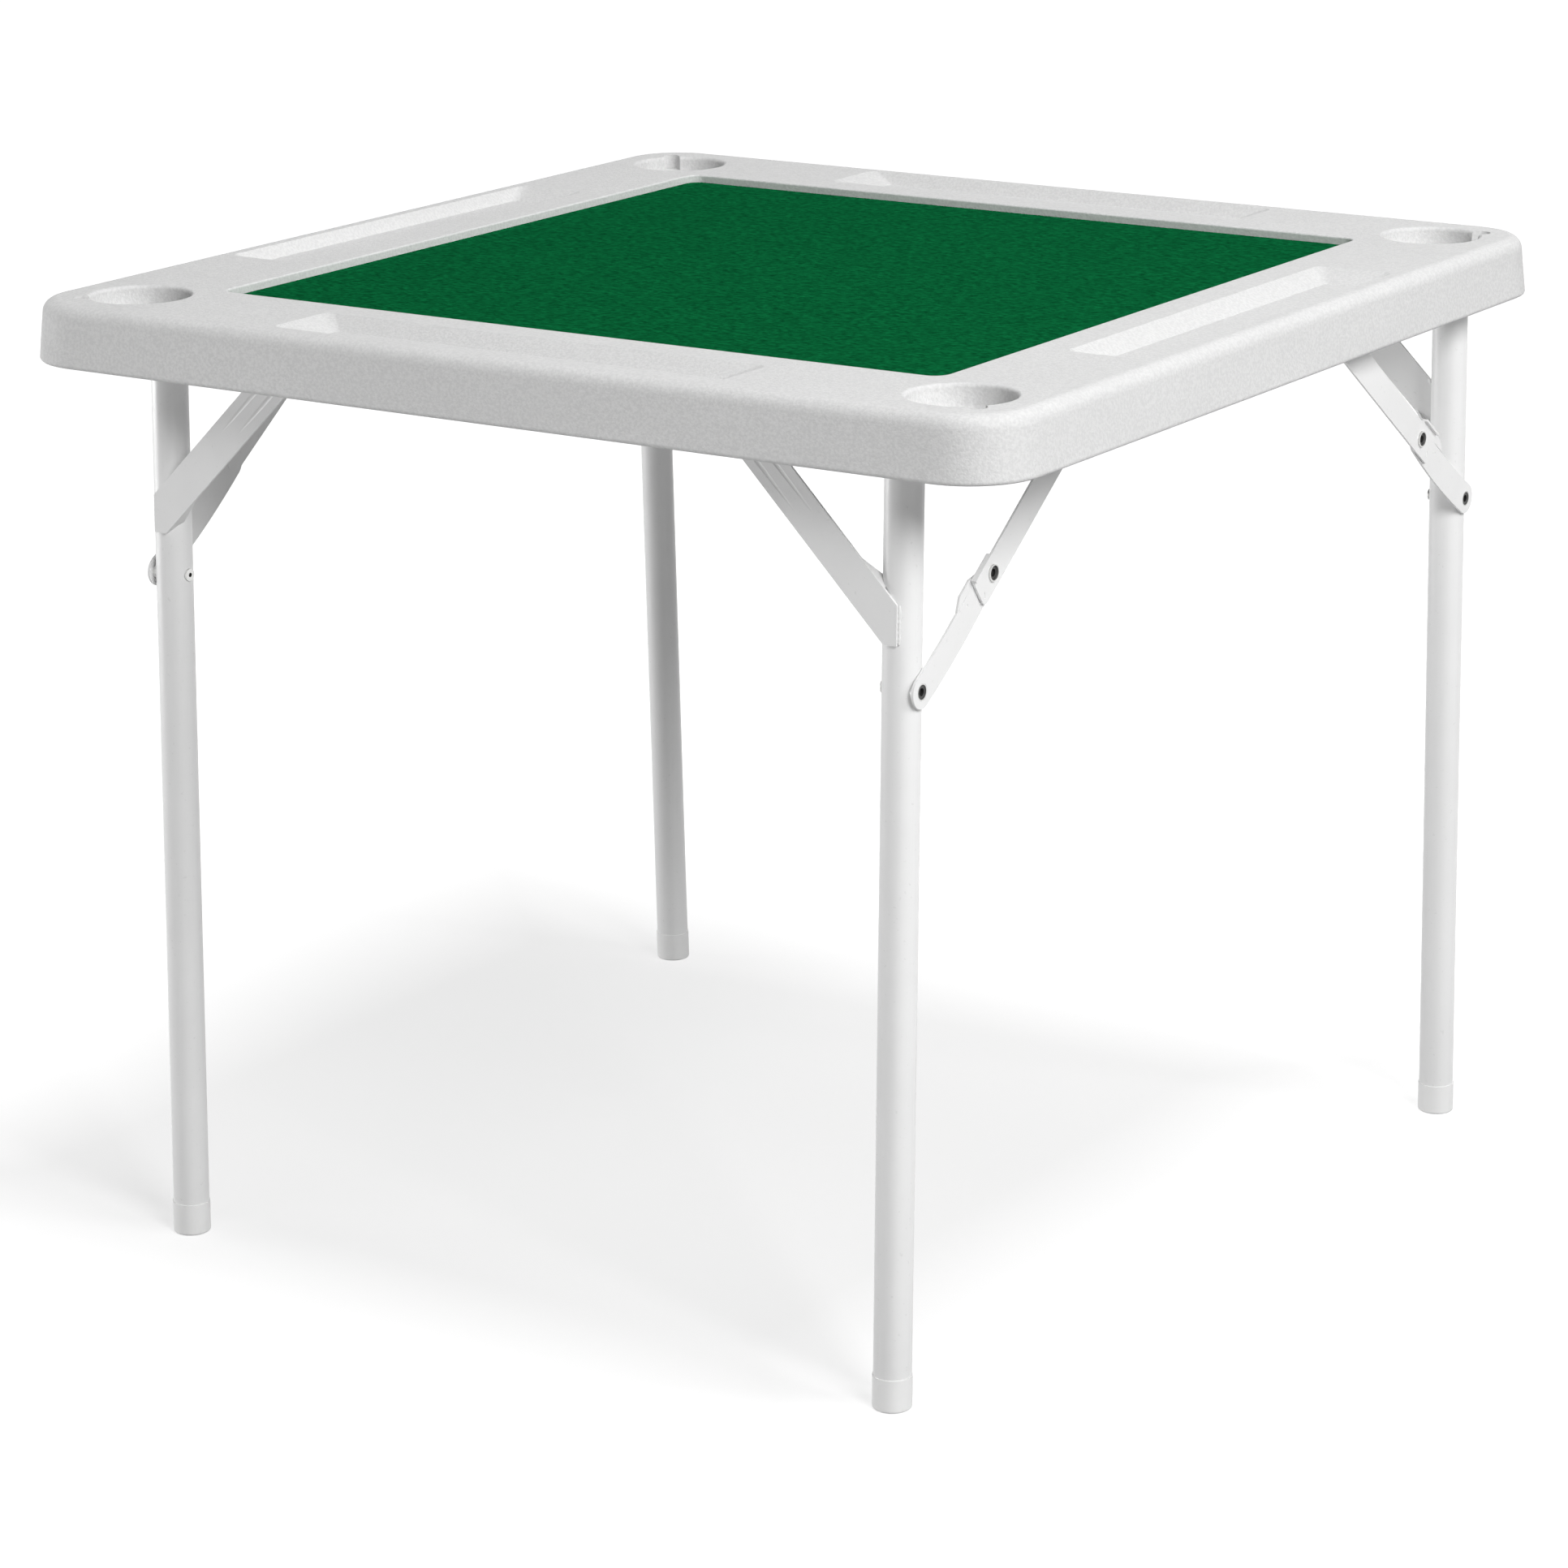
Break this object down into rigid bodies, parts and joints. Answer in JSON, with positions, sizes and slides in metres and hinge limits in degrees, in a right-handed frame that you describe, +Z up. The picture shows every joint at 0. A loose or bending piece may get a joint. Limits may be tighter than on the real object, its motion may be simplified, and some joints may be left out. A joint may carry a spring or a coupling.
{
  "type": "folding card table",
  "caption": "Square folding card table: moulded white top with a felt field, cup wells and chip trays, on tubular leg frames that fold up under it on braced hinges and jointed stays.",
  "frame": {"origin": "on the floor under the middle of the top", "axes": "+Z up, +X to the right and +Y to the back, seen from the front pair of legs"},
  "size_m": [0.8634, 0.8634, 0.736],
  "materials": {
    "moulded_plastic": "pebbled",
    "white_plastic": "satin",
    "hardboard": "raw",
    "green_felt": "napped",
    "white_paint": "satin",
    "dark_steel": "satin",
    "zinc_steel": "satin"
  },
  "bodies": {
    "tabletop": {"tabletop_shell": "moulded_plastic", "play_board": "hardboard", "play_felt": "green_felt", "strap_screws": "zinc_steel", "bracket_screws": "zinc_steel", "hinge_straps_a": "white_paint", "hinge_saddles_a": "white_plastic", "stay_brackets_a": "white_paint", "bracket_pins_a": "dark_steel", "hinge_straps_b": "white_paint", "hinge_saddles_b": "white_plastic", "stay_brackets_b": "white_paint", "bracket_pins_b": "dark_steel"},
    "frame_a": {"cross_tube_a": "white_paint", "tube_plugs_a": "white_plastic", "leg_rivets_a": "dark_steel", "stay_washers_a": "zinc_steel", "leg_a_left": "white_paint", "foot_cap_a_left": "white_plastic", "corner_brace_a_left": "white_paint", "leg_a_right": "white_paint", "foot_cap_a_right": "white_plastic", "corner_brace_a_right": "white_paint"},
    "lower_stay_a_left": {"lower_stay_a_left": "white_paint", "knee_rivet_inner_a_left": "dark_steel"},
    "upper_stay_a_left": {"upper_stay_a_left": "white_paint", "knee_rivet_outer_a_left": "dark_steel"},
    "lower_stay_a_right": {"lower_stay_a_right": "white_paint", "knee_rivet_inner_a_right": "dark_steel"},
    "upper_stay_a_right": {"upper_stay_a_right": "white_paint", "knee_rivet_outer_a_right": "dark_steel"},
    "frame_b": {"cross_tube_b": "white_paint", "tube_plugs_b": "white_plastic", "leg_rivets_b": "dark_steel", "stay_washers_b": "zinc_steel", "leg_b_left": "white_paint", "foot_cap_b_left": "white_plastic", "corner_brace_b_left": "white_paint", "leg_b_right": "white_paint", "foot_cap_b_right": "white_plastic", "corner_brace_b_right": "white_paint"},
    "lower_stay_b_left": {"lower_stay_b_left": "white_paint", "knee_rivet_inner_b_left": "dark_steel"},
    "upper_stay_b_left": {"upper_stay_b_left": "white_paint", "knee_rivet_outer_b_left": "dark_steel"},
    "lower_stay_b_right": {"lower_stay_b_right": "white_paint", "knee_rivet_inner_b_right": "dark_steel"},
    "upper_stay_b_right": {"upper_stay_b_right": "white_paint", "knee_rivet_outer_b_right": "dark_steel"}
  },
  "joints": [
    {"name": "frame_a_fold", "type": "hinge", "parent": "tabletop", "child": "frame_a", "pos_m": [0, -0.3745, 0.6939], "axis": [1, 0, 0], "range_deg": [0, 91.6]},
    {"name": "lower_stay_a_left_swing", "type": "hinge", "parent": "frame_a", "child": "lower_stay_a_left", "pos_m": [-0.3388, -0.37911, 0.52896], "axis": [1, 0, 0], "range_deg": [0, 52.36]},
    {"name": "upper_stay_a_left_swing", "type": "hinge", "parent": "tabletop", "child": "upper_stay_a_left", "pos_m": [-0.3411, -0.1525, 0.6939], "axis": [1, 0, 0], "range_deg": [-36.05, 0]},
    {"name": "lower_stay_a_right_swing", "type": "hinge", "parent": "frame_a", "child": "lower_stay_a_right", "pos_m": [0.3388, -0.37911, 0.52896], "axis": [1, 0, 0], "range_deg": [0, 52.36]},
    {"name": "upper_stay_a_right_swing", "type": "hinge", "parent": "tabletop", "child": "upper_stay_a_right", "pos_m": [0.3411, -0.1525, 0.6939], "axis": [1, 0, 0], "range_deg": [-36.05, 0]},
    {"name": "frame_b_fold", "type": "hinge", "parent": "tabletop", "child": "frame_b", "pos_m": [0, 0.3485, 0.6929], "axis": [-1, 0, 0], "range_deg": [0, 91.6]},
    {"name": "lower_stay_b_left_swing", "type": "hinge", "parent": "frame_b", "child": "lower_stay_b_left", "pos_m": [-0.4008, 0.35311, 0.52796], "axis": [-1, 0, 0], "range_deg": [0, 52.36]},
    {"name": "upper_stay_b_left_swing", "type": "hinge", "parent": "tabletop", "child": "upper_stay_b_left", "pos_m": [-0.4031, 0.1265, 0.6929], "axis": [-1, 0, 0], "range_deg": [-36.05, 0]},
    {"name": "lower_stay_b_right_swing", "type": "hinge", "parent": "frame_b", "child": "lower_stay_b_right", "pos_m": [0.4008, 0.35311, 0.52796], "axis": [-1, 0, 0], "range_deg": [0, 52.36]},
    {"name": "upper_stay_b_right_swing", "type": "hinge", "parent": "tabletop", "child": "upper_stay_b_right", "pos_m": [0.4031, 0.1265, 0.6929], "axis": [-1, 0, 0], "range_deg": [-36.05, 0]}
  ],
  "couplings": [
    {"joint": "lower_stay_a_left_swing", "follows": "frame_a_fold", "ratio": 0.57152},
    {"joint": "upper_stay_a_left_swing", "follows": "frame_a_fold", "ratio": -0.39355},
    {"joint": "lower_stay_a_right_swing", "follows": "frame_a_fold", "ratio": 0.57152},
    {"joint": "upper_stay_a_right_swing", "follows": "frame_a_fold", "ratio": -0.39355},
    {"joint": "lower_stay_b_left_swing", "follows": "frame_b_fold", "ratio": 0.57152},
    {"joint": "upper_stay_b_left_swing", "follows": "frame_b_fold", "ratio": -0.39355},
    {"joint": "lower_stay_b_right_swing", "follows": "frame_b_fold", "ratio": 0.57152},
    {"joint": "upper_stay_b_right_swing", "follows": "frame_b_fold", "ratio": -0.39355}
  ]
}
